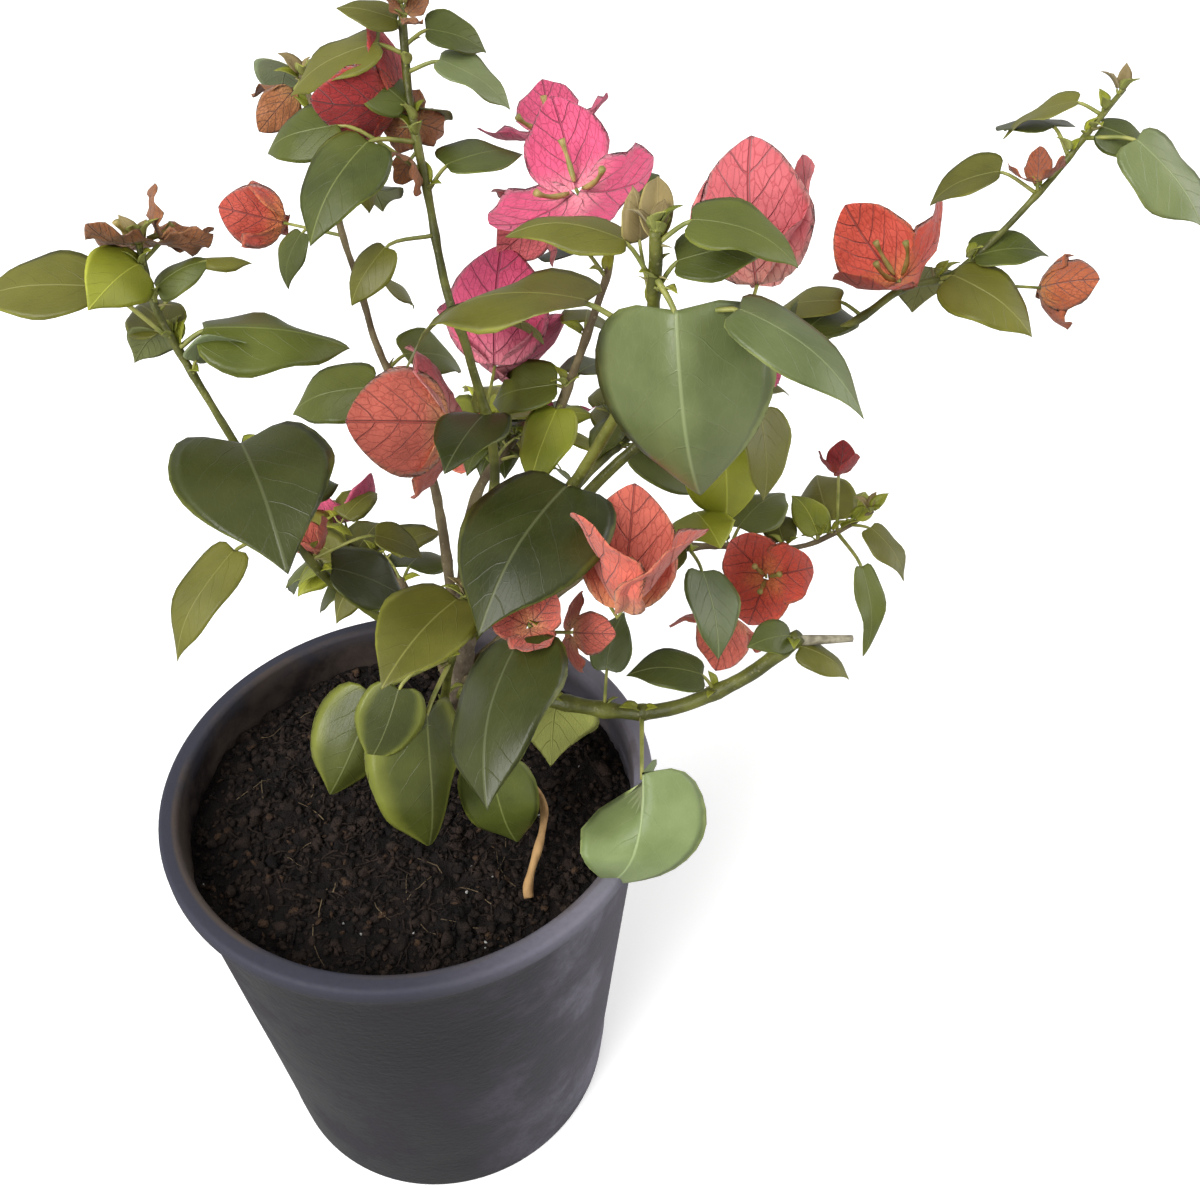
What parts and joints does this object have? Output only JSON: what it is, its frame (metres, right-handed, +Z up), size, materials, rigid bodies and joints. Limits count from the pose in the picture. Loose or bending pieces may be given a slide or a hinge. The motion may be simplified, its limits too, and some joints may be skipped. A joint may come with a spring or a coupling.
{
  "type": "potted bougainvillea bush",
  "caption": "Young bougainvillea bush in a plain dark nursery pot, with thin arching boughs, heart-shaped leaves and papery three-bract blooms.",
  "frame": {"origin": "middle of the pot's flat underside", "axes": "+Z up from the ground; -Y is the side the low cut cane and the largest leaves face; +X is the side the longest bough reaches to"},
  "size_m": [0.4115, 0.2826, 0.4819],
  "materials": {
    "pot": "dusty matte blue-black",
    "soil": "crumbly dark potting mix",
    "trunk": "rough grey-brown bark",
    "bough": "green bark that turns brown towards the trunk",
    "foliage": "satin leaves with papery bracts"
  },
  "bodies": {
    "root": {"pot": "pot", "soil": "soil", "trunk": "trunk", "bough_upper": "bough", "bough_back_left": "bough", "bough_left": "bough", "bough_top": "bough", "bough_front": "bough", "bough_right": "bough", "bough_low_right": "bough", "bough_cane": "bough", "bough_back": "bough", "bough_back_right": "bough", "bough_back_low": "bough", "foliage_upper": "foliage", "foliage_back_left": "foliage", "foliage_left": "foliage", "foliage_top": "foliage", "foliage_front": "foliage", "foliage_right": "foliage", "foliage_low_right": "foliage", "foliage_cane": "foliage", "foliage_low_front": "foliage", "foliage_apron": "foliage", "foliage_back": "foliage", "foliage_back_right": "foliage", "foliage_back_low": "foliage"}
  },
  "joints": []
}
